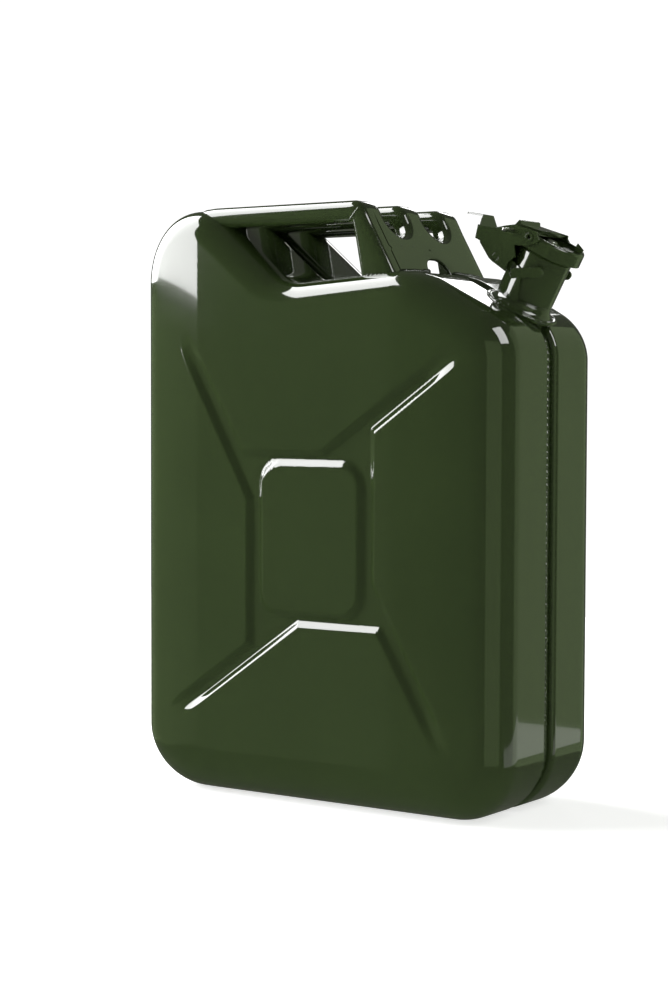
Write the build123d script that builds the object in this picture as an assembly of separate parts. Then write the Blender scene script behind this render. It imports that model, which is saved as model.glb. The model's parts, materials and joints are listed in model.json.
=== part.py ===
from build123d import *
import math
import os

# A 20 litre pressed steel jerry can with a cam lever closure. Millimetres, +Z up.
# X runs along the width with the spout at +X, and the front face looks along -Y.
# Everything is drawn about the middle of the tank's base. FRAME_SHIFT then moves it so that
# the origin is the middle of the whole can's footprint, closure included.

# Tank
WIDTH = 345.0
DEPTH = 164.0
HUMP_Z = 468.0
SHEET = 1.0
BASE_CORNER_R = 52.0
HUMP_CORNER_R = 58.0
SPOUT_CORNER_R = 42.0
SIDE_EDGE_R = 38.0
BASE_EDGE_R = 40.0
SHOULDER_EDGE_R = 32.0
RIM_EDGE_R = 14.0
HUMP_END = (-98.0, HUMP_Z)
LEDGE_START = (-26.0, 408.0)
SHOULDER_PEAK = (93.0, 415.8)

# Weld seam channel round the tank
CHANNEL_HALF = 7.0
CHANNEL_DEPTH = 9.0
BEAD_HALF = 1.8
BEAD_HEIGHT = 1.3

# Pressed X on each face: half of the outline, turned half a turn for the other half
PRESS_CENTRE = (5.0, 210.0)
PRESS_DEPTH = 4.0
PRESS_HALF = [(-121, 358), (-110, 363), (-58, 277.5), (16, 277.5), (124, 353), (131, 341), (64, 294), (64, 180)]
PANEL_SIZE = (91.0, 115.0)
PANEL_R = 16.0
PRESS_CORNER_R = 4.5

# Neck: U along the shoulder slope, H along the neck axis, from the neck's foot
NECK_FOOT = (145.0, 388.4)
NECK_TILT = 28.0
NECK_R = 21.0
NECK_WALL = 1.2
NECK_TAIL_H = -13.0
TAPER_H = (43.5, 46.5)
MOUTH_R = 19.4
MOUTH_H = 50.0
COLLAR_R = 27.0
COLLAR_H = (-9.0, 1.6, 5.6)
NECK_WELD_R = 2.4

# Handles
HANDLE_PITCH = 57.0
HANDLE_WIDTH = 27.0
HANDLE_TOP_Z = 470.0
HANDLE_UNDER_Z = 453.0
HANDLE_WALL = 1.5
HANDLE_EDGE_R = 4.0
HANDLE_START_X = -112.0
PLATE_FOOT = (82.9, 398.0)
PLATE_HEAD = (42.4, HANDLE_TOP_Z)
BEND_R = 14.0
PLATE_TOP_Z = 445.0
PLATE_ARCH_R = 12.0
TUNNEL_HALF = 15.0
TUNNEL_TOP_Z = 427.0
FOOT_WELD_R = 2.2

# Closure
HINGE_AT = (-26.0, 29.0)
HINGE_PIN_R = 3.0
LUG_R = 4.6
LUG_Y = (19.0, 21.0)
STRAP = 1.65
STRAP_H = (6.0, 31.0)
STRAP_FRONT_U = 6.0
WING = [(148, 409.5), (173, 409.5), (177, 413.2), (173, 417), (148, 417)]
CHEEK_Y = (23.1, 24.5)
LID_HINGE_AT = (-6.3, 54.3)
RIVET_R = 2.5
RIVET_BORE_R = 1.5
RIVET_HEAD_R = 3.3
RIVET_HEAD = 0.7
LOCK_PIN_AT = (-21.8, 52.4)
LOCK_PIN_R = 1.6
LOCK_PIN_Y = (-38.0, 26.5)
LID_R = 26.0
LID_HALF = 22.6
LID_SHEET = 1.0
LID_FLOOR_H = 53.9
LID_RIM = 3.2
LID_REAR_U = -19.8
LID_EAR_U = -10.2
LID_H = (46.0, 57.2)
LID_EDGE_R = 2.4
GASKET_R = 19.5
GASKET_HOLE_R = 3.0
GASKET_THICK = 3.6
RETAINER_R = 11.0
RETAINER_THICK = 1.0
FIXED_GAP = 0.04
RUNNING_GAP = 0.05

# Vent tube
VENT_R = 4.0
VENT_WALL = 0.8
VENT_U = -14.0
VENT_PATH = [(153.29, 433.82), (115.74, 363.2), (-84, 370), (-120, 444)]
VENT_BENDS = [34.0, 40.0]
CLIP_H = (16.0, 24.0)

FRAME_SHIFT = -12.3

SHOULDER_SLOPE = math.tan(math.radians(NECK_TILT))
SPOUT_CORNER_Z = NECK_FOOT[1] - SHOULDER_SLOPE * (WIDTH / 2 - NECK_FOOT[0])
NECK_DIR = (math.sin(math.radians(NECK_TILT)), 0, math.cos(math.radians(NECK_TILT)))
SLOPE_DIR = (NECK_DIR[2], 0, -NECK_DIR[0])
NECK_FRAME = Location(Plane(origin=(NECK_FOOT[0], 0, NECK_FOOT[1]), x_dir=SLOPE_DIR, z_dir=NECK_DIR))
FAR = 600.0


def slab(points, y0, y1, radii=None):
    """A plate whose outline lies in XZ, reaching from y0 to y1."""
    edge = FilletPolyline(*points, radius=radii, close=True) if radii else Polyline(*points, close=True)
    return Pos(0, y1, 0) * extrude(Plane.XZ * make_face(edge), amount=y1 - y0)


def both_sides(shape):
    return [shape, mirror(shape, about=Plane.XZ)]


def cross_bar(at, radius, y0, y1):
    """A round bar along Y through a point of XZ."""
    return Pos(at[0], (y0 + y1) / 2, at[1]) * Rot(90, 0, 0) * Cylinder(radius, y1 - y0)


def post(radius, low, high):
    """A round post on the Z axis."""
    return Pos(0, 0, (low + high) / 2) * Cylinder(radius, high - low)


def on_neck(shape):
    """Carries a shape from the neck's own frame to the can's frame."""
    return NECK_FRAME * shape


def tank_outline(inset=0.0):
    half = WIDTH / 2
    points = [
        (-half, 0),
        (half, 0),
        (half, SPOUT_CORNER_Z),
        SHOULDER_PEAK,
        LEDGE_START,
        HUMP_END,
        (-half, HUMP_Z),
    ]
    radii = [BASE_CORNER_R, BASE_CORNER_R, SPOUT_CORNER_R, 60.0, 45.0, 40.0, HUMP_CORNER_R]
    face = make_face(FilletPolyline(*points, radius=radii, close=True))
    return offset(face, amount=-inset) if inset else face


def press_outline(grow=0.0):
    cx, cz = PRESS_CENTRE
    other = [(2 * cx - x, 2 * cz - z) for x, z in PRESS_HALF]
    channel = make_face(FilletPolyline(*PRESS_HALF, *other, radius=PRESS_CORNER_R, close=True))
    panel = Pos(*PRESS_CENTRE) * RectangleRounded(*PANEL_SIZE, PANEL_R)
    if grow:
        channel = offset(channel, amount=grow)
        panel = offset(panel, amount=-grow)
    return channel - panel


def tank_blank(inset=0.0):
    """The rounded tank before its seam channel and its pressed faces."""
    half_y = DEPTH / 2 - inset
    block = extrude(Plane.XZ * tank_outline(inset), amount=half_y, both=True)
    rim = block.edges().filter_by(lambda e: abs(abs(e.center().Y) - half_y) < 0.01)
    block = fillet(rim, RIM_EDGE_R - inset)
    plan = RectangleRounded(WIDTH - 2 * inset, 2 * half_y, SIDE_EDGE_R - inset)
    end = Plane.YZ * Pos(0, FAR / 2 + inset) * RectangleRounded(2 * half_y, FAR, BASE_EDGE_R - inset)
    block = block & extrude(plan, amount=FAR, both=True) & extrude(end, amount=FAR / 2, both=True)
    clear_y = 2 * half_y + FIXED_GAP
    roof = Plane.YZ * Pos(0, -FAR / 2 - inset) * RectangleRounded(clear_y, FAR, SHOULDER_EDGE_R - inset)
    return block & on_neck(extrude(roof, amount=FAR, both=True))


def tank_body(inset=0.0):
    """The tank as a full solid, drawn in by the sheet's thickness for its inside."""
    frame = offset(tank_outline(), amount=20) - tank_outline(CHANNEL_DEPTH + inset)
    block = tank_blank(inset) - extrude(Plane.XZ * frame, amount=CHANNEL_HALF + inset, both=True)
    press = extrude(Plane.XZ * press_outline(inset), amount=20, both=True)
    for side in (-1, 1):
        block = block - Pos(0, side * (DEPTH / 2 - PRESS_DEPTH - inset + 20), 0) * press
    return block


def shells(outside):
    skin = outside - tank_body(SHEET) - on_neck(post(NECK_R + FIXED_GAP, -40, 20))
    half = Box(FAR, FAR, 2 * FAR)
    return skin & Pos(0, -FAR / 2, 0) * half, skin & Pos(0, FAR / 2, 0) * half


def seam_weld():
    floor = tank_outline(CHANNEL_DEPTH)
    section = offset(floor, amount=BEAD_HEIGHT) - offset(floor, amount=FIXED_GAP)
    bead = extrude(Plane.XZ * section, amount=BEAD_HALF, both=True)
    return bead - on_neck(post(COLLAR_R + NECK_WELD_R, -40, 20))


def neck():
    wall = NECK_WALL
    outline = [
        (NECK_R, NECK_TAIL_H),
        (NECK_R, TAPER_H[0]),
        (MOUTH_R, TAPER_H[1]),
        (MOUTH_R, MOUTH_H),
        (MOUTH_R - wall, MOUTH_H),
        (MOUTH_R - wall, TAPER_H[1]),
        (NECK_R - wall, TAPER_H[0]),
        (NECK_R - wall, NECK_TAIL_H),
    ]
    return on_neck(revolve(Plane.XZ * make_face(Polyline(*outline, close=True)), Axis.Z))


def neck_collar(outside):
    """The flared foot of the neck, dressed down to the shoulder and into the seam channel."""
    low, rim, flare = COLLAR_H
    bore = NECK_R + FIXED_GAP
    edges = [
        Line((bore, low), (COLLAR_R, low)),
        Line((COLLAR_R, low), (COLLAR_R, rim)),
        RadiusArc((COLLAR_R, rim), (bore, flare), 9.0),
        Line((bore, flare), (bore, low)),
    ]
    return on_neck(revolve(Plane.XZ * make_face(edges), Axis.Z)) - outside


def neck_weld(outside):
    """The weld bead where the collar meets the shoulder."""
    bead = revolve(Plane.XZ * Pos(COLLAR_R, 0) * Circle(NECK_WELD_R), Axis.Z)
    return on_neck(bead - post(COLLAR_R + FIXED_GAP, -20, 20)) - outside


def plate_point(z):
    """Where the end plate's outer face is at a height."""
    slope = (PLATE_FOOT[0] - PLATE_HEAD[0]) / (PLATE_HEAD[1] - PLATE_FOOT[1])
    return (PLATE_HEAD[0] + slope * (PLATE_HEAD[1] - z), z)


def plate_slab(top_z, half_y):
    """A sheet lying in the end plate's plane from below the ledge up to a height."""
    low = plate_point(395)
    high = plate_point(top_z)
    back = HANDLE_WALL * 1.135
    return slab([low, high, (high[0] - back, high[1]), (low[0] - back, low[1])], -half_y, half_y)


def foot_tunnel():
    """The arched way through the handles' foot over the seam channel."""
    size = TUNNEL_TOP_Z - 380
    arch = Plane.YZ * Pos(0, TUNNEL_TOP_Z - size / 2) * RectangleRounded(2 * TUNNEL_HALF, size, 9)
    return Pos(60, 0, 0) * extrude(arch, amount=50, both=True)


def handle_bar(blank):
    """One handle: a box section from the hump along to its leg behind the end plate."""
    outer = [(HANDLE_START_X, HANDLE_TOP_Z), (HANDLE_START_X, HANDLE_UNDER_Z), (37, HANDLE_UNDER_Z), (47, 398)]
    outer += [PLATE_FOOT, PLATE_HEAD]
    radii = [0, 0, 5.0, 0, 0, BEND_R]
    half = HANDLE_WIDTH / 2
    bar = slab(outer, -half, half, radii)
    long_edges = bar.edges().filter_by(lambda e: abs(abs(e.center().Y) - half) < 0.01)
    bar = fillet(long_edges, HANDLE_EDGE_R)
    inner = [(-150, HANDLE_TOP_Z), (-150, HANDLE_UNDER_Z), (37, HANDLE_UNDER_Z), (50.6, 378)]
    inner += [plate_point(378), PLATE_HEAD]
    core = offset(make_face(FilletPolyline(*inner, radius=radii, close=True)), amount=-HANDLE_WALL)
    bar = bar - extrude(Plane.XZ * core, amount=half - HANDLE_WALL, both=True)
    return bar - plate_slab(PLATE_TOP_Z, half) - blank


def end_plate(blank):
    """The plate that ties the three legs together, arched between them and over the seam."""
    plate = plate_slab(PLATE_TOP_Z, HANDLE_PITCH + HANDLE_WIDTH / 2)
    gap = HANDLE_PITCH - HANDLE_WIDTH
    arch = Plane.YZ * Pos(0, PLATE_TOP_Z + 8) * RectangleRounded(gap, 26, PLATE_ARCH_R)
    for side in (-1, 1):
        plate = plate - Pos(60, side * HANDLE_PITCH / 2, 0) * extrude(arch, amount=60, both=True)
    return plate - foot_tunnel() - blank


def foot_weld(blank):
    """The bead along one half of the end plate's foot."""
    foot = plate_point(417.5)
    bead = cross_bar((foot[0] + 0.6, foot[1] - 1.2), FOOT_WELD_R, -70.0, -TUNNEL_HALF - 1)
    past = Pos(foot[0] - 30, -43, 417) * Box(60, 80, 60)
    behind = [plate_point(395), plate_point(445), (20, 445), (20, 395)]
    return bead - slab(behind, -80, 0) - blank


def hinge_strap():
    """The strap round the handle side of the neck, with a finger along each flank."""
    low, high = STRAP_H
    ring = post(NECK_R + STRAP, low, high) - post(NECK_R + FIXED_GAP, low - 1, high + 1)
    sides = [(-30, low), (STRAP_FRONT_U, low), (STRAP_FRONT_U - 8, high), (-30, high)]
    strap = on_neck(ring & slab(sides, -30, 30, [1.0, 2.0, 9.0, 1.0]))
    finger = slab(WING, -(NECK_R + STRAP), -(NECK_R + 0.1), [0.5, 2.5, 3.0, 2.5, 0.5])
    return strap + both_sides(finger)


def hinge_lug():
    points = [(-8, 23), (-21, 25.4), (-26, 24.6), (-26, 33.4), (-20, 34), (-8, 31)]
    plate = slab(points, -LUG_Y[1], -LUG_Y[0]) + cross_bar(HINGE_AT, LUG_R, -LUG_Y[1], -LUG_Y[0])
    plate = plate - post(NECK_R + STRAP + FIXED_GAP, 0, 60)
    return on_neck(plate - cross_bar(HINGE_AT, HINGE_PIN_R + FIXED_GAP, -30, 0))


def hinge_pin():
    return on_neck(chamfer(cross_bar(HINGE_AT, HINGE_PIN_R, -CHEEK_Y[1], CHEEK_Y[1]).edges(), 0.4))


def lever():
    """The cam lever: two cheeks, the web over them, the spine under the tail and the thumb tab."""
    cheek = [
        (-51, 43.7), (-48.9, 43.1), (-35.8, 48.3), (-28.7, 53.3), (-22.1, 57.3), (-2.2, 60.7),
        (-1.4, 58.5), (2.3, 56.2), (1.6, 53.8), (-4.4, 48), (-15.1, 43.5), (-10.3, 36.4),
        (-12.1, 33.5), (-13.8, 29.3), (-13.2, 22.9), (-22.7, 24.1), (-26.4, 24.4), (-30.4, 25.4),
        (-43.2, 32.5), (-43.5, 33.7), (-48.4, 33.5),
    ]
    web = [
        (-3.2, 59.9), (-22.1, 56.9), (-28.7, 52.9), (-35.8, 47.9), (-49.5, 43.2), (-55.3, 41.3),
        (-59.6, 48.9), (-75, 44.1), (-74.6, 42.8), (-60.3, 47.3), (-55.9, 39.6), (-49, 41.7),
        (-35.2, 46.6), (-28, 51.5), (-21.7, 55.7), (-3.2, 58.7),
    ]
    lip = [(-4.6, 57.4), (-3.2, 57.4), (-3.2, 59.8), (-4.6, 59.6)]
    spine = [
        (-49.8, 42.3), (-48.3, 33.7), (-43.3, 33.5), (-32.3, 27), (-31.6, 28.2), (-42.9, 34.9),
        (-47.2, 35), (-48.3, 42.6),
    ]
    half = CHEEK_Y[1]
    side = [(10, half), (-49.5, half), (-55.6, 13), (-59.6, 8), (-73, 6), (-75.2, 4)]
    plan = make_face(Polyline(*side, *[(u, -y) for u, y in reversed(side)], close=True))
    top = slab(web, -half, half) & extrude(plan, amount=80)
    body = top + both_sides(slab(cheek, -half, -CHEEK_Y[0]))
    body = body + slab(lip, -19, 19) + slab(spine, -half, half)
    body = body - cross_bar(HINGE_AT, HINGE_PIN_R + RUNNING_GAP, -30, 30)
    body = body - cross_bar(LID_HINGE_AT, RIVET_R + FIXED_GAP, -30, 30)
    return on_neck(body - cross_bar(LOCK_PIN_AT, LOCK_PIN_R + RUNNING_GAP, -30, 30))


def strongback():
    """The stiffening plate welded on the lever's web."""
    low = [(-4, 59.9), (-22.1, 57), (-26.5, 54.3)]
    high = [(-27.2, 55.3), (-25.2, 60.4), (-23.9, 60.4), (-22.6, 58.2), (-4, 61.1)]
    return on_neck(slab(low + high, -15, 15))


def cap_plan(radius, half, rear):
    disc = Pos(0.5, 0) * Circle(radius)
    return disc & Pos(rear + 40, 0) * Rectangle(80, 2 * half)


def lid():
    """The cap: a skirt round the front and sides, a rolled rim and a dished floor."""
    low, high = LID_H
    cap = Pos(0, 0, low) * extrude(cap_plan(LID_R, LID_HALF, LID_REAR_U), amount=high - low)
    top = cap.edges().filter_by(lambda e: e.center().Z > high - 0.01 and e.center().X > LID_REAR_U + 1)
    cap = fillet(top, LID_EDGE_R)
    under = cap_plan(LID_R - LID_SHEET, LID_HALF - LID_SHEET, LID_REAR_U - 5)
    cap = cap - Pos(0, 0, low - 1) * extrude(under, amount=LID_FLOOR_H - low + 1)
    dish = cap_plan(LID_R - LID_RIM, LID_HALF - LID_RIM, LID_REAR_U - 5)
    cap = cap - Pos(0, 0, LID_FLOOR_H + LID_SHEET) * extrude(dish, amount=20)
    cap = cap - slab([(-40, 40), (LID_EAR_U, 40), (LID_EAR_U, LID_FLOOR_H), (-40, LID_FLOOR_H)], -30, 30)
    above = LID_FLOOR_H + LID_SHEET
    cap = cap - slab([(-40, above), (LID_EAR_U, above), (LID_EAR_U, 70), (-40, 70)], -30, 30)
    for side in (-1, 1):
        ends = sorted((side * 30, side * (LID_HALF - LID_SHEET)))
        cap = cap - cross_bar(LID_HINGE_AT, RIVET_R + RUNNING_GAP, *ends)
    cap = cap - post(GASKET_HOLE_R, 40, 70)
    tab = slab([(19, 54), (25, 54), (26.6, 61), (20, 63.5)], 0, 1.2)
    return on_neck(cap + tab)


def lid_rivet():
    """A hollow rivet through one cheek, on which the lid turns."""
    inner, outer = LID_HALF - LID_SHEET + 0.3, CHEEK_Y[1]
    shank = cross_bar(LID_HINGE_AT, RIVET_R, -outer, -inner)
    head = cross_bar(LID_HINGE_AT, RIVET_HEAD_R, -outer - RIVET_HEAD, -outer)
    return on_neck(shank + head - cross_bar(LID_HINGE_AT, RIVET_BORE_R, -30, 0))


def gasket():
    top = LID_FLOOR_H
    low = top - GASKET_THICK
    return on_neck(post(GASKET_R, low, top) - post(GASKET_HOLE_R, low - 1, top + 1))


def gasket_retainer():
    """The disc that holds the gasket up, with the stud that is peened over in the lid's dish."""
    low = LID_FLOOR_H - GASKET_THICK
    disc = post(RETAINER_R, low - RETAINER_THICK, low)
    stud = post(GASKET_HOLE_R - FIXED_GAP, low, LID_FLOOR_H + LID_SHEET)
    head = Pos(0, 0, LID_FLOOR_H + LID_SHEET + 0.6) * Cylinder(4.2, 1.2)
    return on_neck(disc + stud + fillet(head.edges().sort_by(Axis.Z)[-1], 0.9))


def locking_pin():
    pin = cross_bar(LOCK_PIN_AT, LOCK_PIN_R, *LOCK_PIN_Y)
    return on_neck(fillet(pin.edges().filter_by(GeomType.CIRCLE), 1.2))


def vent_path():
    return Plane.XZ * FilletPolyline(*VENT_PATH, radius=VENT_BENDS)


def vent_tube():
    """The breather that lets air up into the hump while the can pours."""
    path = vent_path()
    start = Plane(origin=path @ 0, z_dir=path % 0)
    return sweep(start * Circle(VENT_R), path=path) - sweep(start * Circle(VENT_R - VENT_WALL), path=path)


def vent_clip():
    """The clip that holds the breather to the neck's wall."""
    low, high = CLIP_H
    wall = NECK_R - NECK_WALL - FIXED_GAP
    tail = Pos(-wall / 2 - 6, 0, (low + high) / 2) * Box(wall - 6, 7, high - low)
    clip = (post(VENT_R + 1.2, low, high).moved(Pos(VENT_U, 0, 0)) + tail) & post(wall, low, high)
    return on_neck(clip - post(VENT_R + FIXED_GAP, low - 1, high + 1).moved(Pos(VENT_U, 0, 0)))


def main():
    outside = tank_body()
    blank = tank_blank()
    front, rear = shells(outside)
    bar = handle_bar(blank)
    lug = hinge_lug()
    rivet = lid_rivet()
    weld = foot_weld(blank)
    parts = {
        "front_shell": front,
        "rear_shell": rear,
        "seam_weld": seam_weld(),
        "neck": neck(),
        "neck_collar": neck_collar(outside),
        "neck_weld": neck_weld(outside),
        "handle_front": Pos(0, -HANDLE_PITCH, 0) * bar - blank,
        "handle_middle": bar - foot_tunnel(),
        "handle_rear": Pos(0, HANDLE_PITCH, 0) * bar - blank,
        "end_plate": end_plate(blank),
        "foot_weld_front": weld,
        "foot_weld_rear": mirror(weld, about=Plane.XZ),
        "hinge_strap": hinge_strap(),
        "hinge_lug_front": lug,
        "hinge_lug_rear": mirror(lug, about=Plane.XZ),
        "hinge_pin": hinge_pin(),
        "lever": lever(),
        "strongback": strongback(),
        "lid": lid(),
        "lid_rivet_front": rivet,
        "lid_rivet_rear": mirror(rivet, about=Plane.XZ),
        "gasket": gasket(),
        "gasket_retainer": gasket_retainer(),
        "locking_pin": locking_pin(),
        "vent_tube": vent_tube(),
        "vent_clip": vent_clip(),
    }
    os.makedirs("parts", exist_ok=True)
    for name, shape in parts.items():
        export_step(Pos(FRAME_SHIFT, 0, 0) * shape, f"parts/{name}.step")


main()
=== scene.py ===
import json
import math

import bpy
import numpy as np
from mathutils import Matrix, Vector


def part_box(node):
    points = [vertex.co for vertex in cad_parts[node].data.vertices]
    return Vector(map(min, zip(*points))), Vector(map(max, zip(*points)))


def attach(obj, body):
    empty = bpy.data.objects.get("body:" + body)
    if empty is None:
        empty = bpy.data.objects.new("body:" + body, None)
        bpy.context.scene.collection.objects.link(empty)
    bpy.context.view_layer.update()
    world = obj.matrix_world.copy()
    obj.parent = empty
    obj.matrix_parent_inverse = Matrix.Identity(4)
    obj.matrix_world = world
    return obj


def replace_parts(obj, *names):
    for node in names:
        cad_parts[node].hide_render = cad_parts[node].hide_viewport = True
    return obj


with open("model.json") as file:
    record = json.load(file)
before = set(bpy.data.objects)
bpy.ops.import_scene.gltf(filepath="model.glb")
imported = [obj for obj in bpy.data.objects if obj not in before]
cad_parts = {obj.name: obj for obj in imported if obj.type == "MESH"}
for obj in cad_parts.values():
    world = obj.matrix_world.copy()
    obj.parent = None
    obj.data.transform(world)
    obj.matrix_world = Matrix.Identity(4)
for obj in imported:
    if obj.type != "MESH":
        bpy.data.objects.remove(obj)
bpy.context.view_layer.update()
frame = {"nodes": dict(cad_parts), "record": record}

MM = 0.001

# ---------------------------------------------------------------- driving sizes, millimetres
# The tank's width, depth and height come from the frame. The rest is drawn about the middle of its base.
tank_low, tank_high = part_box("front_shell")
MID_X = (tank_low.x + tank_high.x) / 2
WIDTH = (tank_high.x - tank_low.x) / MM
HALF_Y = -tank_low.y / MM
HUMP_Z = tank_high.z / MM

BASE_CORNER_R = 52.0
HUMP_CORNER_R = 58.0
SPOUT_CORNER_R = 42.0
HUMP_END = (-98.0, HUMP_Z)
LEDGE_START = (-26.0, 408.0)
SHOULDER_PEAK = (93.0, 415.8)
NECK_FOOT = (145.0, 388.4)
NECK_TILT = math.radians(28.0)
NECK_R = 21.0
CHANNEL_HALF = 5.2
CHANNEL_DEPTH = 7.0
LIP_R = 4.6
BOWED_FROM = 109.0
PRESS_CENTRE = (5.0, 210.0)
PRESS_DEPTH = 3.8
# Half of the X channel's outline. The other half is this one, turned half a turn about PRESS_CENTRE.
PRESS_HALF = [
    (-127, 369), (-115, 373), (-58, 277.5), (16, 277.5), (141, 365), (147, 352), (64, 294), (64, 180),
]
PRESS_WALL = 6.8
PRESS_WALL_OUTSIDE = 2.0
ARM_FADE_FROM = 162.0
ARM_FADE_OVER = 40.0
PANEL_HALF = (45.7, 57.5)
PANEL_R = 17.0
PANEL_WALL = 7.0
PANEL_WALL_OUTSIDE = 5.0
FILLET_SHARE = 0.22
BOW_START_SLOPE = 0.018
BOW_R = 240.0
SHEET = 1.0


def place(x, y, z):
    """A point in tank millimetres as a point of the row frame in metres."""
    return Vector((x * MM + MID_X, y * MM, z * MM))


def neck_point(u, h, y=0.0):
    """A point of the neck's own frame, along the shoulder slope and up the neck, in tank millimetres."""
    c, s = math.cos(NECK_TILT), math.sin(NECK_TILT)
    return (NECK_FOOT[0] + u * c + h * s, y, NECK_FOOT[1] - u * s + h * c)


def smooth(t):
    """Eases from 0 to 1 as t goes from 0 to 1."""
    t = np.clip(t, 0.0, 1.0)
    return t * t * (3 - 2 * t)


# ---------------------------------------------------------------- materials
def node_kit(name):
    """A new material with its shader, and short calls that add the nodes the finishes share."""
    mat = bpy.data.materials.new(name)
    mat.use_nodes = True
    tree = mat.node_tree
    for n in list(tree.nodes):
        tree.nodes.remove(n)
    out = tree.nodes.new("ShaderNodeOutputMaterial")
    bsdf = tree.nodes.new("ShaderNodeBsdfPrincipled")
    tree.links.new(bsdf.outputs["BSDF"], out.inputs["Surface"])
    coords = tree.nodes.new("ShaderNodeNewGeometry")

    def noise(scale, detail=2.0, roughness=0.5):
        n = tree.nodes.new("ShaderNodeTexNoise")
        n.inputs["Scale"].default_value = scale
        n.inputs["Detail"].default_value = detail
        n.inputs["Roughness"].default_value = roughness
        tree.links.new(coords.outputs["Position"], n.inputs["Vector"])
        return n.outputs["Fac"]

    def ramp(value, stops):
        n = tree.nodes.new("ShaderNodeValToRGB")
        elements = n.color_ramp.elements
        while len(elements) < len(stops):
            elements.new(0.5)
        for e, (at, colour) in zip(elements, stops):
            e.position = at
            e.color = (*colour, 1.0) if len(colour) == 3 else colour
        tree.links.new(value, n.inputs["Fac"])
        return n.outputs["Color"]

    def mix(factor, a, b, kind="MIX"):
        n = tree.nodes.new("ShaderNodeMixRGB")
        n.blend_type = kind
        for value, socket in ((factor, n.inputs["Fac"]), (a, n.inputs["Color1"]), (b, n.inputs["Color2"])):
            if isinstance(value, bpy.types.NodeSocket):
                tree.links.new(value, socket)
            elif isinstance(value, (int, float)):
                socket.default_value = value
            else:
                socket.default_value = (*value, 1.0)
        return n.outputs["Color"]

    def scale_to(value, low, high):
        n = tree.nodes.new("ShaderNodeMapRange")
        n.inputs["To Min"].default_value = low
        n.inputs["To Max"].default_value = high
        tree.links.new(value, n.inputs["Value"])
        return n.outputs["Result"]

    def bump(height, distance, strength=1.0, after=None):
        n = tree.nodes.new("ShaderNodeBump")
        n.inputs["Distance"].default_value = distance
        n.inputs["Strength"].default_value = strength
        tree.links.new(height, n.inputs["Height"])
        if after is not None:
            tree.links.new(after, n.inputs["Normal"])
        return n.outputs["Normal"]

    def worn_edges(wear):
        """A mask of the outer edges, broken up into small patches."""
        edges = ramp(coords.outputs["Pointiness"], [(0.56, (0, 0, 0)), (0.68, (1, 1, 1))])
        broken = ramp(noise(420.0, 3.0, 0.65), [(0.52, (0, 0, 0)), (0.64, (wear, wear, wear))])
        return mix(1.0, edges, broken, "MULTIPLY")

    kit = dict(mat=mat, tree=tree, bsdf=bsdf, noise=noise, ramp=ramp, mix=mix)
    kit.update(scale_to=scale_to, bump=bump, worn_edges=worn_edges)
    return kit


def enamel(name, base, drift_scale=1.0, peel=0.000006, roughness=(0.06, 0.11), wear=0.25, edge=0.0):
    """Glossy stoved enamel: slow drift of shade, fine orange peel, and rubbed edges."""
    k = node_kit(name)
    tree, bsdf = k["tree"], k["bsdf"]
    dark = tuple(c * 0.93 for c in base)
    light = tuple(c * 1.07 for c in base)
    drift = k["ramp"](k["noise"](9.0 * drift_scale, 3.0), [(0.3, dark), (0.7, light)])
    fine = k["ramp"](k["noise"](260.0, 4.0, 0.6), [(0.35, (0.95, 0.95, 0.95)), (0.7, (1.03, 1.03, 1.03))])
    colour = k["mix"](0.6, drift, fine, "MULTIPLY")
    worn = tuple(min(1.0, c * 2.0 + 0.01) for c in base)
    colour = k["mix"](k["worn_edges"](wear), colour, worn)
    tree.links.new(colour, bsdf.inputs["Base Color"])
    tree.links.new(k["scale_to"](k["noise"](38.0, 3.0), *roughness), bsdf.inputs["Roughness"])
    soft = None
    if edge:
        round_off = tree.nodes.new("ShaderNodeBevel")
        round_off.samples = 4
        round_off.inputs["Radius"].default_value = edge
        soft = round_off.outputs["Normal"]
    broad = k["bump"](k["noise"](30.0, 1.0), 0.0001, 0.5, soft)
    tree.links.new(k["bump"](k["noise"](620.0, 2.0), peel, 1.0, broad), bsdf.inputs["Normal"])
    bsdf.inputs["Coat Weight"].default_value = 1.0
    bsdf.inputs["Coat IOR"].default_value = 1.6
    bsdf.inputs["Coat Roughness"].default_value = 0.03
    return k["mat"]


def plated(name):
    """Bright zinc plating: streaks along the piece and small dull spots."""
    k = node_kit(name)
    tree, bsdf = k["tree"], k["bsdf"]
    colour = k["ramp"](k["noise"](180.0, 5.0, 0.6), [(0.3, (0.5, 0.5, 0.49)), (0.7, (0.8, 0.8, 0.78))])
    colour = k["mix"](k["worn_edges"](0.6), colour, (0.36, 0.35, 0.33))
    tree.links.new(colour, bsdf.inputs["Base Color"])
    bsdf.inputs["Metallic"].default_value = 1.0
    tree.links.new(k["scale_to"](k["noise"](300.0, 4.0), 0.18, 0.38), bsdf.inputs["Roughness"])
    tree.links.new(k["bump"](k["noise"](900.0, 3.0), 0.00003, 0.6), bsdf.inputs["Normal"])
    return k["mat"]


def rubbery(name):
    """Matt black rubber: a faint bloom, a fine grain, and greyer edges."""
    k = node_kit(name)
    tree, bsdf = k["tree"], k["bsdf"]
    colour = k["ramp"](k["noise"](220.0, 4.0), [(0.3, (0.012, 0.012, 0.012)), (0.7, (0.03, 0.03, 0.03))])
    colour = k["mix"](k["worn_edges"](0.5), colour, (0.07, 0.07, 0.068))
    tree.links.new(colour, bsdf.inputs["Base Color"])
    tree.links.new(k["scale_to"](k["noise"](400.0, 3.0), 0.55, 0.75), bsdf.inputs["Roughness"])
    tree.links.new(k["bump"](k["noise"](1500.0, 2.0), 0.00004, 0.6), bsdf.inputs["Normal"])
    return k["mat"]


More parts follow.
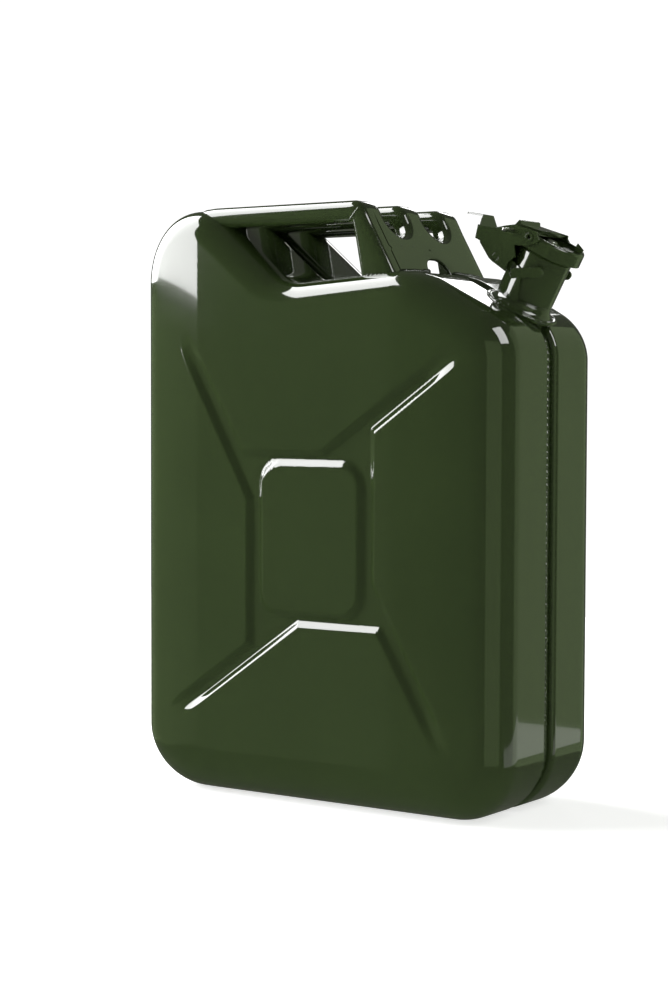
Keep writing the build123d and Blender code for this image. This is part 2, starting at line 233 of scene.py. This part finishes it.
GREEN = (0.022, 0.036, 0.0105)
green = enamel("green_enamel", GREEN)
green_small = enamel("green_enamel_fittings", GREEN, 3.0, 0.000006, (0.07, 0.14), 0.4, 0.0007)
weld_green = enamel("green_enamel_weld", tuple(c * 1.05 for c in GREEN), 6.0, 0.00001, (0.08, 0.16), 0.5)
zinc = plated("zinc_plate")
black_rubber = rubbery("black_rubber")

# Steel fasteners whose heads the enamel covers
PAINTED_OVER = ("lid_rivet_front", "lid_rivet_rear", "hinge_pin")
FINISH = {"plated_steel": zinc, "rubber": black_rubber, "green_paint": green_small}
slot_of = {s["node"]: s["material_slot"] for s in frame["record"]["subparts"]}
for node_name, node in frame["nodes"].items():
    finish = green_small if node_name in PAINTED_OVER else FINISH[slot_of[node_name]]
    node.data.materials.clear()
    node.data.materials.append(finish)


# ---------------------------------------------------------------- mesh helpers
def mesh_piece(name, points, faces, material, normals=None):
    """A painted piece from tank millimetres, riding on the can."""
    scaled = np.asarray(points, float) * MM
    scaled[:, 0] += MID_X
    mesh = bpy.data.meshes.new(name)
    mesh.from_pydata(scaled.tolist(), [], [tuple(int(i) for i in f) for f in faces])
    mesh.materials.append(material)
    mesh.polygons.foreach_set("use_smooth", [True] * len(mesh.polygons))
    mesh.update()
    if normals is not None:
        mesh.normals_split_custom_set_from_vertices(np.asarray(normals, float).tolist())
    piece = bpy.data.objects.new(name, mesh)
    bpy.context.scene.collection.objects.link(piece)
    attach(piece, "can")
    return piece


# ---------------------------------------------------------------- the tank's outline
def rounded_path(points, radii, edge_values, step):
    """Samples a closed polygon with rounded corners: places, outward normals and a value
    that eases from each side's own value to the next side's round each corner."""
    places, normals, values = [], [], []
    count = len(points)
    pts = [np.array(p, float) for p in points]

    def side(i):
        d = pts[(i + 1) % count] - pts[i]
        return d / np.linalg.norm(d)

    def tangent_length(i):
        before, after = side(i - 1), side(i)
        turn = math.acos(max(-1.0, min(1.0, float(before @ after))))
        return radii[i] * math.tan(turn / 2), turn

    for i in range(count):
        before, after = side(i - 1), side(i)
        length, turn = tangent_length(i)
        left = before[0] * after[1] - before[1] * after[0] > 0
        sign = 1.0 if left else -1.0
        start = pts[i] - before * length
        inward = np.array([-before[1], before[0]]) * sign
        centre = start + inward * radii[i]
        steps = max(4, int(math.ceil(radii[i] * turn / step)))
        for k in range(steps):
            a = turn * k / steps
            spoke = -inward * math.cos(a) + before * math.sin(a)
            places.append(centre + spoke * radii[i])
            normals.append(spoke * sign)
            ease = smooth(k / steps)
            values.append(edge_values[i - 1] * (1 - ease) + edge_values[i] * ease)
        next_length, _ = tangent_length((i + 1) % count)
        arc_end = pts[i] + after * length
        line_end = pts[(i + 1) % count] - after * next_length
        run = float(np.linalg.norm(line_end - arc_end))
        steps = max(1, int(math.ceil(run / step)))
        outward = np.array([after[1], -after[0]])
        for k in range(steps):
            places.append(arc_end + after * run * k / steps)
            normals.append(outward)
            values.append(edge_values[i])
    return np.array(places), np.array(normals), np.array(values)


HALF_X = WIDTH / 2
SPOUT_CORNER_Z = NECK_FOOT[1] - math.tan(NECK_TILT) * (HALF_X - NECK_FOOT[0])
CORNERS = [
    (-HALF_X, 0), (HALF_X, 0), (HALF_X, SPOUT_CORNER_Z), SHOULDER_PEAK, LEDGE_START, HUMP_END,
    (-HALF_X, HUMP_Z),
]
CORNER_RADII = [BASE_CORNER_R, BASE_CORNER_R, SPOUT_CORNER_R, 60.0, 45.0, 40.0, HUMP_CORNER_R]
# How far the face rounds over into the base, spout side, shoulder, ledge, hump slope, hump top and hump side
EDGE_ROUNDING = [40.0, 25.0, 30.0, 17.0, 24.0, 20.0, 25.0]


# ---------------------------------------------------------------- the pressed face
def polygon_distance(x, z, points):
    """Signed distance to a polygon, negative inside."""
    nearest = np.full(x.shape, 1e9)
    inside = np.zeros(x.shape, bool)
    for (x0, z0), (x1, z1) in zip(points, points[1:] + points[:1]):
        ex, ez = x1 - x0, z1 - z0
        t = np.clip(((x - x0) * ex + (z - z0) * ez) / (ex * ex + ez * ez), 0, 1)
        nearest = np.minimum(nearest, np.hypot(x - x0 - t * ex, z - z0 - t * ez))
        crosses = (z0 > z) != (z1 > z)
        with np.errstate(divide="ignore", invalid="ignore"):
            at = x0 + (z - z0) * ex / ez if ez else np.full(x.shape, 1e9)
        inside ^= crosses & (x < at)
    return np.where(inside, -nearest, nearest)


PRESS = PRESS_HALF + [(2 * PRESS_CENTRE[0] - x, 2 * PRESS_CENTRE[1] - z) for x, z in PRESS_HALF]


def panel_distance(x, z):
    """Signed distance to the raised panel's rounded rectangle, negative inside."""
    dx = np.abs(x - PRESS_CENTRE[0]) - (PANEL_HALF[0] - PANEL_R)
    dz = np.abs(z - PRESS_CENTRE[1]) - (PANEL_HALF[1] - PANEL_R)
    return np.hypot(np.maximum(dx, 0), np.maximum(dz, 0)) + np.minimum(np.maximum(dx, dz), 0) - PANEL_R


def wall_profile(t):
    """A pressed wall from 0 to 1: a straight slope with a fillet at each end."""
    t = np.clip(t, 0.0, 1.0)
    f = FILLET_SHARE
    start = t * t / (2 * f)
    end = 1 - f - (1 - t) ** 2 / (2 * f)
    return np.where(t < f, start, np.where(t > 1 - f, end, t - f / 2)) / (1 - f)


def pressing(x, z):
    """How far the face is pressed in: the X channel with its raised panel, fading out at the arm ends."""
    reach = np.hypot(x - PRESS_CENTRE[0], z - PRESS_CENTRE[1])
    channel = wall_profile((PRESS_WALL_OUTSIDE - polygon_distance(x, z, PRESS)) / PRESS_WALL)
    panel = wall_profile((PANEL_WALL_OUTSIDE - panel_distance(x, z)) / PANEL_WALL)
    fade = 1 - smooth((reach - ARM_FADE_FROM) / ARM_FADE_OVER)
    return PRESS_DEPTH * channel * (1 - panel) * fade


def bow(x):
    """How far the face falls away towards the sides of the tank, past its flat middle, and its slope."""
    past = np.maximum(np.abs(x - PRESS_CENTRE[0]) - BOWED_FROM, 0.0)
    fall = BOW_START_SLOPE * past + past * past / (2 * BOW_R)
    slope = np.where(past > 0, BOW_START_SLOPE + past / BOW_R, 0.0) * np.sign(x - PRESS_CENTRE[0])
    return fall, slope


# ---------------------------------------------------------------- the two shells
FACE_STEPS = 125
FACE_MARGIN = 2.0
ROUNDING_STEPS = 24
WALL_STEPS = 8
LIP_STEPS = 6
CHANNEL_FLOOR_R = 2.5
CHANNEL_FLOOR_STEPS = 5
CHANNEL_FLOOR_MID = 2.0
SEAM_GAP = 0.05


def shell():
    """Outer skin of one pressed half, drawn towards +Y, from the middle of its face to the weld seam:
    points, normals and faces, where a triangle's fourth corner is -1."""
    edge, normal, rounding = rounded_path(CORNERS, CORNER_RADII, EDGE_ROUNDING, 1.35)
    columns = len(edge)
    inset = rounding + FACE_MARGIN
    centre = np.array(PRESS_CENTRE)
    rows, row_normals = [], []

    def add_row(places, normals):
        rows.append(places)
        row_normals.append(normals / np.linalg.norm(normals, axis=1, keepdims=True))

    def face_row(flat):
        x, z = flat[:, 0], flat[:, 1]
        e = 0.15
        slope_x = (pressing(x + e, z) - pressing(x - e, z)) / (2 * e)
        slope_z = (pressing(x, z + e) - pressing(x, z - e)) / (2 * e)
        fall, tilt = bow(x)
        y = np.full(columns, HALF_Y) - pressing(x, z) - fall
        add_row(np.stack([x, y, z], 1), np.stack([slope_x + tilt, np.full(columns, 1.0), slope_z], 1))

    def band_row(into, y, out_share, face_share, bowed=False):
        """A row of the sides, sunk into the outline by into, with its normal part outward, part facing."""
        flat = edge - normal * np.reshape(into, (-1, 1))
        fall, tilt = bow(flat[:, 0]) if bowed else (0.0, np.zeros(columns))
        across = normal[:, 0] * out_share + tilt * face_share
        facing = np.full(columns, face_share)
        places = np.stack([flat[:, 0], np.broadcast_to(y - fall, (columns,)), flat[:, 1]], 1)
        add_row(places, np.stack([across, facing, normal[:, 1] * out_share], 1))

    inner_edge = edge - normal * inset[:, None]
    for k in range(1, FACE_STEPS):
        face_row(centre + (inner_edge - centre) * (k / FACE_STEPS))
    for k in range(2):
        into = inset + (rounding - inset) * k / 2
        face_row(edge - normal * into[:, None])
    for k in range(ROUNDING_STEPS + 1):
        a = math.pi / 2 * (1 - k / ROUNDING_STEPS)
        sunk = HALF_Y - rounding * (1 - math.sin(a))
        band_row(rounding * (1 - math.cos(a)), sunk, math.cos(a), math.sin(a), True)
    lip_top = CHANNEL_HALF + LIP_R
    wall_top = HALF_Y - rounding - bow(edge[:, 0])[0]
    for k in range(1, WALL_STEPS):
        band_row(0.0 * rounding, wall_top * (1 - k / WALL_STEPS) + lip_top * k / WALL_STEPS, 1.0, 0.0)
    for k in range(LIP_STEPS + 1):
        a = math.pi / 2 * k / LIP_STEPS
        into = np.full(columns, LIP_R * (1 - math.cos(a)))
        band_row(into, CHANNEL_HALF + LIP_R * (1 - math.sin(a)), math.cos(a), -math.sin(a))
    band_row(np.full(columns, (LIP_R + CHANNEL_DEPTH - CHANNEL_FLOOR_R) / 2), CHANNEL_HALF, 0.0, -1.0)
    for k in range(CHANNEL_FLOOR_STEPS + 1):
        a = math.pi / 2 * k / CHANNEL_FLOOR_STEPS
        into = np.full(columns, CHANNEL_DEPTH - CHANNEL_FLOOR_R * (1 - math.sin(a)))
        band_row(into, CHANNEL_HALF - CHANNEL_FLOOR_R * (1 - math.cos(a)), math.sin(a), -math.cos(a))
    for y in (CHANNEL_FLOOR_MID, SEAM_GAP):
        band_row(np.full(columns, CHANNEL_DEPTH), y, 1.0, 0.0)

    points = np.concatenate([[[centre[0], HALF_Y, centre[1]]], np.array(rows).reshape(-1, 3)])
    normals = np.concatenate([[[0, 1, 0]], np.array(row_normals).reshape(-1, 3)])

    def index(r, c):
        return 1 + r * columns + c % columns

    faces = [(0, index(0, c), index(0, c + 1), -1) for c in range(columns)]
    for r in range(len(rows) - 1):
        for c in range(columns):
            faces.append((index(r, c), index(r + 1, c), index(r + 1, c + 1), index(r, c + 1)))
    return points, normals, np.array(faces)


def neck_axis_distance(points):
    """Distance from the neck's axis, and height up it, of tank points."""
    c, s = math.cos(NECK_TILT), math.sin(NECK_TILT)
    dx, dz = points[:, 0] - NECK_FOOT[0], points[:, 2] - NECK_FOOT[1]
    u, h = dx * c - dz * s, dx * s + dz * c
    return np.hypot(u, points[:, 1]), h


def build_shell(name, replaced, side):
    """One pressed half in sheet, with the hole under the neck. side is -1 in front and +1 behind."""
    outer, outer_n, faces = shell()
    used = np.where(faces >= 0, faces, faces[:, :1])
    away, up = neck_axis_distance(outer[used].mean(1))
    faces = faces[~((away < NECK_R - 0.9) & (up > -14) & (up < 6))]
    inner = outer - outer_n * SHEET
    inner[:, 1] = np.maximum(inner[:, 1], SEAM_GAP)
    total = len(outer)
    skin = [tuple(f) if f[3] >= 0 else tuple(f[:3]) for f in faces.tolist()]
    border = {}
    for f in skin:
        for a, b in zip(f, f[1:] + f[:1]):
            if (b, a) in border:
                del border[(b, a)]
            else:
                border[(a, b)] = True
    all_faces = skin + [tuple(i + total for i in reversed(f)) for f in skin]
    all_faces += [(b, a, a + total, b + total) for a, b in border]
    points = np.concatenate([outer, inner])
    normals = np.concatenate([outer_n, -outer_n])
    points[:, 1] *= side
    normals[:, 1] *= side
    if side > 0:
        all_faces = [tuple(reversed(f)) for f in all_faces]
    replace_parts(mesh_piece(name, points, all_faces, green, normals), replaced)


build_shell("front_pressing", "front_shell", -1)
build_shell("rear_pressing", "rear_shell", 1)


# ---------------------------------------------------------------- weld beads
def bead(name, path, radius, replaced=None, ripple=0.25, pitch=3.2, seed=1):
    """A run of weld along a path: a tube whose thickness swells with each pass of the torch."""
    path = np.asarray(path, float)
    along = np.concatenate([[0], np.cumsum(np.linalg.norm(np.diff(path, axis=0), axis=1))])
    ahead = np.roll(path, -1, 0) - np.roll(path, 1, 0)
    ahead[0], ahead[-1] = path[1] - path[0], path[-1] - path[-2]
    ahead /= np.linalg.norm(ahead, axis=1, keepdims=True)
    dice = np.random.default_rng(seed)
    knots = np.arange(0, along[-1] + 9, 4.0)
    drift = np.interp(along, knots, dice.normal(0, 1, len(knots)))
    swell = radius * (1 + ripple * np.sin(2 * np.pi * along / pitch + drift) + 0.5 * ripple * drift)
    ends = np.minimum(along, along[-1] - along)
    swell = swell * np.sqrt(np.clip(ends / (radius * 1.5), 0.02, 1))
    upright = abs(ahead[0][2]) >= 0.9
    aside = np.cross(ahead, [0.94, 0.17, 0.31] if upright else [0.31, 0.17, 0.94])
    aside /= np.linalg.norm(aside, axis=1, keepdims=True)
    over = np.cross(aside, ahead)
    ring = 10
    points, faces = [], []
    for k in range(ring):
        a = 2 * math.pi * k / ring
        points.append(path + (aside * math.cos(a) + over * math.sin(a)) * swell[:, None])
    points = np.stack(points, 1).reshape(-1, 3)
    count = len(path)
    for r in range(count - 1):
        for k in range(ring):
            a, b = r * ring + k, r * ring + (k + 1) % ring
            faces.append((a, b, b + ring, a + ring))
    faces.append(tuple(reversed(range(ring))))
    faces.append(tuple(range((count - 1) * ring, count * ring)))
    piece = mesh_piece(name, points, faces, weld_green)
    if replaced:
        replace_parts(piece, replaced)


def line(a, b, step=0.5):
    """Points along a straight run, about a step apart."""
    a, b = np.array(a, float), np.array(b, float)
    count = max(2, int(np.linalg.norm(b - a) / step))
    return a + (b - a) * np.linspace(0, 1, count)[:, None]


seam_edge, seam_normal, _ = rounded_path(CORNERS, CORNER_RADII, EDGE_ROUNDING, 0.7)
seam_line = seam_edge - seam_normal * (CHANNEL_DEPTH - 1.6)
seam_line = np.stack([seam_line[:, 0], np.zeros(len(seam_line)), seam_line[:, 1]], 1)
away, up = neck_axis_distance(seam_line)
under_neck = np.where((away < NECK_R + 3.0) & (up > -14))[0]
seam_line = np.roll(seam_line, -int(under_neck[-1]) - 1, 0)[: len(seam_line) - len(under_neck)]
bead("seam_bead", seam_line, 1.9, "seam_weld", ripple=0.22, pitch=5.0, seed=4)

# ---------------------------------------------------------------- the three handles and their end plate
HANDLE_PITCH = 57.0
HANDLE_HALF = 13.5
HANDLE_TOP = 470.0
HANDLE_UNDER = 453.5
PLATE_HEAD_X = 42.4
PLATE_FOOT = np.array([82.9, 0, 398.0])
PLATE_LOW_Z = 397.0
PLATE_TILT = math.atan2(PLATE_FOOT[0] - PLATE_HEAD_X, HANDLE_TOP - PLATE_FOOT[2])
PLATE_UP = np.array([-math.sin(PLATE_TILT), 0, math.cos(PLATE_TILT)])
PLATE_OUT = np.array([math.cos(PLATE_TILT), 0, math.sin(PLATE_TILT)])
BEND_R = 14.0
INNER_BEND_R = 6.0
# How far the legs lie behind the plate's face
LEG_SUNK = 0.4
CORNER_STEPS = 9


def plate_at(z):
    """The point in the middle of the end plate's outer face at a height."""
    return PLATE_FOOT + PLATE_UP * (z - PLATE_FOOT[2]) / PLATE_UP[2]


def arc(centre, radius, start, end, count):
    """Points round an arc between two angles in degrees."""
    angles = np.radians(np.linspace(start, end, count))
    return np.stack([centre[0] + radius * np.cos(angles), centre[1] + radius * np.sin(angles)], 1)


def handle_paths(foot_z):
    """The line along the outside of a handle and the line along its inside, from the hump to the foot."""
    bend_start = PLATE_HEAD_X - BEND_R * math.tan((math.pi / 2 - PLATE_TILT) / 2)
    tilt = math.degrees(PLATE_TILT)
    outer = [(-116, 466.5), (-108, 469.2), (-98, HANDLE_TOP), (-80, HANDLE_TOP)]
    inner = [(-116, 440), (-108, 446.0), (-98, HANDLE_UNDER), (-80, HANDLE_UNDER)]
    for x in (-60, -40, -20, 0, 15, 24):
        outer.append((x, HANDLE_TOP))
        inner.append((x, HANDLE_UNDER))
    outer += arc((bend_start, HANDLE_TOP - BEND_R), BEND_R, 90, tilt, 18).tolist()
    inner += arc((31.5, HANDLE_UNDER - INNER_BEND_R), INNER_BEND_R, 90, 10, 18).tolist()
    bend_end = np.array(outer[-1])
    leg_top = np.array(inner[-1])
    leg_foot = np.array([37.0 + (HANDLE_UNDER - foot_z) * 0.182, foot_z])
    foot = plate_at(foot_z)[[0, 2]]
    for k in range(1, 13):
        sunk = PLATE_OUT[[0, 2]] * min(LEG_SUNK, 0.2 * k)
        outer.append((bend_end + (foot - bend_end) * k / 12 - sunk).tolist())
        inner.append((leg_top + (leg_foot - leg_top) * k / 12).tolist())
    return np.array(outer), np.array(inner)


def section(half, depth, top_r, low_r):
    """A rounded box section: across, and down from the outside."""
    pts = []
    for cx, cy, r, start in (
        (half - top_r, top_r, top_r, 90), (half - low_r, depth - low_r, low_r, 0),
        (low_r - half, depth - low_r, low_r, -90), (top_r - half, top_r, top_r, -180),
    ):
        for a in np.radians(np.linspace(start, start - 90, CORNER_STEPS)):
            pts.append((cx + r * math.cos(a), cy - r * math.sin(a)))
    return pts


def handle(name, y, replaced, foot_z=PLATE_LOW_Z):
    """A box-section handle with its leg, its edges growing sharper from the bar into the leg."""
    outer, inner = handle_paths(foot_z)
    points, faces = [], []
    count = 4 * CORNER_STEPS
    for k, (o, i) in enumerate(zip(outer, inner)):
        depth = float(np.linalg.norm(i - o))
        down = (i - o) / depth
        share = smooth((k - 10) / 17.0)
        rim = section(HANDLE_HALF, depth, 7.8 - 2.3 * share, 6.5 - 3.5 * share)
        for across, into in rim:
            points.append((o[0] + down[0] * into, y + across, o[1] + down[1] * into))
    rings = len(outer)
    for r in range(rings - 1):
        for k in range(count):
            a, b = r * count + k, r * count + (k + 1) % count
            faces.append((a, b, b + count, a + count))
    faces.append(tuple(reversed(range(count))))
    faces.append(tuple(range((rings - 1) * count, rings * count)))
    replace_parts(mesh_piece(name, points, faces, green), replaced)


handle("handle_tube_front", -HANDLE_PITCH, "handle_front")
handle("handle_tube_middle", 0.0, "handle_middle", 428.5)
handle("handle_tube_rear", HANDLE_PITCH, "handle_rear")


def arch_line(half, radius, depth):
    """A U with a round end, open at the top: points and the way into the sheet at each."""
    pts, into = [], []
    straight = max(0.0, depth - radius)
    for k in range(5):
        pts.append((-half, depth - straight * k / 5))
        into.append((-1.0, 0.0))
    for a in np.radians(np.linspace(180, 360, 26)):
        across = (half - radius) * np.sign(math.cos(a)) + radius * math.cos(a)
        pts.append((across, radius + radius * math.sin(a)))
        into.append((math.cos(a), math.sin(a)))
    for k in range(1, 6):
        pts.append((half, radius + straight * k / 5))
        into.append((1.0, 0.0))
    return np.array(pts), np.array(into)


def rim_line(count, half, depth, over):
    """A square U outside an arch, open at the top: down one side, across below it, and up the other."""
    leg = depth + over
    run = (np.linspace(0, 1, count) * (2 * leg + 2 * half))[:, None]
    down = np.hstack([-half + 0 * run, depth - run])
    below = np.hstack([run - leg - half, -over + 0 * run])
    back_up = np.hstack([half + 0 * run, run - leg - 2 * half - over])
    return np.where(run < leg, down, np.where(run < leg + 2 * half, below, back_up))


def rolled_sheet(hole, into, rim, base, upward, roll, lip, thickness=1.5):
    """Sheet between a rolled hole edge and an outer rim. Both lines are (across, up) about the base
    point in the plate's own plane. Returns points and faces with thickness."""
    cols = len(hole)
    rows = []
    for k in range(3):
        rows.append((hole, roll + lip * (1 - k / 3), 1.0))
    for k in range(9):
        a = math.pi / 2 * k / 8
        rows.append((hole + into * roll * (1 - math.cos(a)), roll * (1 - math.sin(a)), math.cos(a)))
    flat = hole + into * roll
    for k in range(1, 5):
        rows.append((flat + (rim - flat) * k / 4, 0.0, 0.0))
    across = np.array([0, 1.0, 0])
    out = np.cross(across, upward)
    out = out if out @ PLATE_OUT > 0 else -out
    towards_hole = -into[:, :1] * across - into[:, 1:] * upward
    front, back = [], []
    for spot, depth, tilt in rows:
        outside = base + spot[:, :1] * across + spot[:, 1:] * upward - out * depth
        facing = out * math.sqrt(1 - tilt * tilt) + towards_hole * tilt
        front.append(outside)
        back.append(outside - facing * thickness)
    half_count = len(front) * cols
    faces = []
    for r in range(len(front) - 1):
        for c in range(cols - 1):
            a = r * cols + c
            quad = (a, a + 1, a + 1 + cols, a + cols)
            faces.append(quad)
            faces.append(tuple(i + half_count for i in reversed(quad)))
    for c in range(cols - 1):
        faces.append((c + 1, c, c + half_count, c + 1 + half_count))
    return np.concatenate(front + back), faces


def end_plate():
    """The plate that ties the legs: two rolled arches between the bars and a low tunnel at the foot."""
    arch_half, tunnel_half, tunnel_r = 15.8, 15.0, 13.0
    top, arch_base, low, tunnel_top, foot = (plate_at(z) for z in (463.0, 446.0, 434.0, 427.5, PLATE_LOW_Z))

    def length(a, b):
        return float(np.linalg.norm(a - b))

    points, faces = np.zeros((0, 3)), []

    def add(sheet_points, sheet_faces):
        nonlocal points
        faces.extend(tuple(i + len(points) for i in f) for f in sheet_faces)
        points = np.concatenate([points, sheet_points])

    span = HANDLE_PITCH / 2
    hole, into = arch_line(arch_half, arch_half, length(top, arch_base))
    rim = rim_line(len(hole), span, length(top, arch_base), length(arch_base, low))
    for side in (-1, 1):
        add(*rolled_sheet(hole, into, rim, arch_base + [0, side * span, 0], PLATE_UP, 6.0, 3.0))
    hole, into = arch_line(tunnel_half, tunnel_r, length(tunnel_top, foot))
    rim = rim_line(len(hole), HANDLE_PITCH, length(tunnel_top, foot), length(low, tunnel_top))
    add(*rolled_sheet(hole, into, rim, tunnel_top, -PLATE_UP, 1.6, 0.6))
    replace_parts(mesh_piece("end_plate_pressing", points, faces, green), "end_plate")


end_plate()

for side, node in ((-1, "foot_weld_front"), (1, "foot_weld_rear")):
    foot = plate_at(416.5)
    run = line((foot[0] + 0.9, side * 69.0, foot[2] - 0.6), (foot[0] + 0.9, side * 17.0, foot[2] - 0.6))
    run[:, 2] += np.interp(np.abs(run[:, 1]), (15, 40, 55, 64, 69), (0.6, 0.0, -0.9, -3.2, -5.5))
    bead(node + "_bead", run, 1.7, node, ripple=0.28, pitch=2.8, seed=10 + side)
    leg_side = line((48.0, side * 70.4, 411.2), (77.0, side * 70.4, 411.6))
    bead(node + "_leg", leg_side, 1.5, ripple=0.35, pitch=3.4, seed=20 + side)
for side in (-1, 1):
    y = side * (HANDLE_PITCH + HANDLE_HALF)
    bead(f"mitre_weld_{side + 1}", line((42.6, y, 464.0), (34.2, y, 454.6), 0.4), 0.6, seed=90 + side)
for y in (-39.9, -23.3):
    spot = plate_at(436.0) + np.array([0, y, 0])
    dimple = line(spot - PLATE_OUT * 0.8, spot + PLATE_OUT * 0.5, 0.2)
    bead(f"spot_weld_{abs(y):.0f}", dimple, 1.5, ripple=0.0)


# ---------------------------------------------------------------- the neck's flared foot
def revolved(name, profile, material, replaced, wobble=0.0, seed=3):
    """A ring about the neck's axis from a closed (radius, height) profile."""
    turns = 120
    dice = np.random.default_rng(seed)
    phase = dice.uniform(0, 6.28, 4)
    points, faces = [], []
    for t in range(turns):
        a = 2 * math.pi * t / turns
        w = wobble * sum(math.sin(n * a + p) for n, p in zip((7, 17, 31, 43), phase))
        for r, h in profile:
            points.append(neck_point((r + w) * math.cos(a), h + 0.5 * w, (r + w) * math.sin(a)))
    count = len(profile)
    for t in range(turns):
        for k in range(count):
            a, b = t * count + k, t * count + (k + 1) % count
            c, d = (t + 1) % turns * count + (k + 1) % count, (t + 1) % turns * count + k
            faces.append((a, d, c, b))
    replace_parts(mesh_piece(name, points, faces, material), replaced)


flare = [(NECK_R + 0.15, 9.5)]
for k in range(13):
    a = math.radians(90 * k / 12)
    flare.append((NECK_R + 0.2 + 6.2 * (1 - math.cos(a)), 0.9 + 7.5 * (1 - math.sin(a))))
flare += [(NECK_R + 6.6, -0.4), (NECK_R + 6.0, -2.5), (NECK_R + 0.15, -4.0)]
revolved("neck_flare", flare, green_small, "neck_collar")
weld_ring = [(27.2 + 1.9 * math.cos(a), 0.2 + 1.3 * math.sin(a)) for a in np.radians(np.arange(0, 360, 24))]
revolved("neck_weld_bead", weld_ring, weld_green, "neck_weld", 0.16, 8)

# ---------------------------------------------------------------- stage, lights and camera
def pale_floor():
    """A pale floor under and behind the can, a little self-lit so that it burns out to white."""
    kit = node_kit("pale_floor")
    bsdf = kit["bsdf"]
    shade = kit["ramp"](kit["noise"](3.0), [(0.3, (0.84, 0.84, 0.84)), (0.7, (0.87, 0.87, 0.87))])
    kit["tree"].links.new(shade, bsdf.inputs["Base Color"])
    bsdf.inputs["Roughness"].default_value = 0.7
    bsdf.inputs["Specular IOR Level"].default_value = 0.1
    bsdf.inputs["Emission Color"].default_value = (1.0, 1.0, 1.0, 1.0)
    bsdf.inputs["Emission Strength"].default_value = 0.7
    mesh = bpy.data.meshes.new("floor")
    corners = [(-1.3, -2.5, 0), (2.6, -2.5, 0), (2.6, 1.3, 0), (-1.3, 1.3, 0)]
    mesh.from_pydata(corners, [], [(0, 1, 2, 3)])
    mesh.materials.append(kit["mat"])
    floor = bpy.data.objects.new("floor", mesh)
    bpy.context.scene.collection.objects.link(floor)
    floor.visible_glossy = False


def studio_world():
    """A dark studio in the reflections, with a white backdrop where nothing stands."""
    world = bpy.data.worlds.new("studio")
    world.use_nodes = True
    bpy.context.scene.world = world
    tree = world.node_tree
    background = tree.nodes["Background"]
    background.inputs["Color"].default_value = (0.07, 0.075, 0.06, 1.0)
    background.inputs["Strength"].default_value = 1.0
    backdrop = tree.nodes.new("ShaderNodeBackground")
    backdrop.inputs["Color"].default_value = (1.0, 1.0, 1.0, 1.0)
    backdrop.inputs["Strength"].default_value = 1.1
    seen = tree.nodes.new("ShaderNodeLightPath")
    pick = tree.nodes.new("ShaderNodeMixShader")
    tree.links.new(seen.outputs["Is Camera Ray"], pick.inputs[0])
    tree.links.new(background.outputs[0], pick.inputs[1])
    tree.links.new(backdrop.outputs[0], pick.inputs[2])
    tree.links.new(pick.outputs[0], tree.nodes["World Output"].inputs["Surface"])


def softbox(name, at, target, size, radiance, colour=(1.0, 1.0, 1.0)):
    """A rectangular studio light of a given brightness, seen only in reflections and by its light."""
    data = bpy.data.lights.new(name, "AREA")
    data.shape = "RECTANGLE"
    data.size, data.size_y = size
    data.energy = radiance * size[0] * size[1] * math.pi
    data.color = colour
    light = bpy.data.objects.new(name, data)
    bpy.context.scene.collection.objects.link(light)
    light.location = at
    light.rotation_euler = (Vector(target) - Vector(at)).to_track_quat("-Z", "Y").to_euler()
    light.visible_camera = False


pale_floor()
studio_world()
LEAF = (0.75, 1.0, 0.5)
softbox("wall_left", (-2.2, -0.9, 2.27), (0, -0.9, 2.27), (3.4, 3.46), 7.2)
softbox("wall_left_low", (-2.25, -0.9, 0.0), (0, -0.9, 0.0), (3.4, 1.0), 0.12, LEAF)
softbox("panel_front_left", (-2.5, -3.38, 0.2), (0, 0, 0.2), (0.7, 2.4), 0.07, LEAF)
softbox("softbox_side", (1.9, 0.1, 1.7), (0, 0, 0.35), (0.9, 1.1), 4.5)
softbox("panel_front_right", (2.25, -1.3, 0.5), (0.1, 0, 0.5), (1.8, 2.2), 0.22, LEAF)
softbox("softbox_back", (-0.66, 1.9, 1.38), (-0.66, 0, 1.38), (0.6, 0.24), 5.0)
softbox("panel_right", (1.45, 2.1, 0.8), (0.1, 0, 0.8), (2.4, 3.0), 0.2, LEAF)
softbox("bounce_right", (0.39, 0.16, 0.004), (0.39, 0.16, 1.0), (0.2, 0.42), 0.45)

CAMERA_AT = (940.2, -1403.4, 323.65)
CAMERA_AHEAD = (-0.56703, 0.82211, -0.05118)
CAMERA_UP = (-0.03172, 0.04029, 0.99868)
CAMERA_LENS = 75.8016
camera_data = bpy.data.cameras.new("camera")
camera_data.sensor_width = 36.0
camera_data.lens = CAMERA_LENS
camera_data.clip_end = 50
camera = bpy.data.objects.new("camera", camera_data)
bpy.context.scene.collection.objects.link(camera)
bpy.context.scene.camera = camera
ahead = Vector(CAMERA_AHEAD).normalized()
right = ahead.cross(Vector(CAMERA_UP)).normalized()
turned = Matrix((right, right.cross(ahead), -ahead)).transposed().to_4x4()
camera.matrix_world = Matrix.Translation(place(*CAMERA_AT)) @ turned
bpy.context.scene.view_settings.view_transform = "Standard"
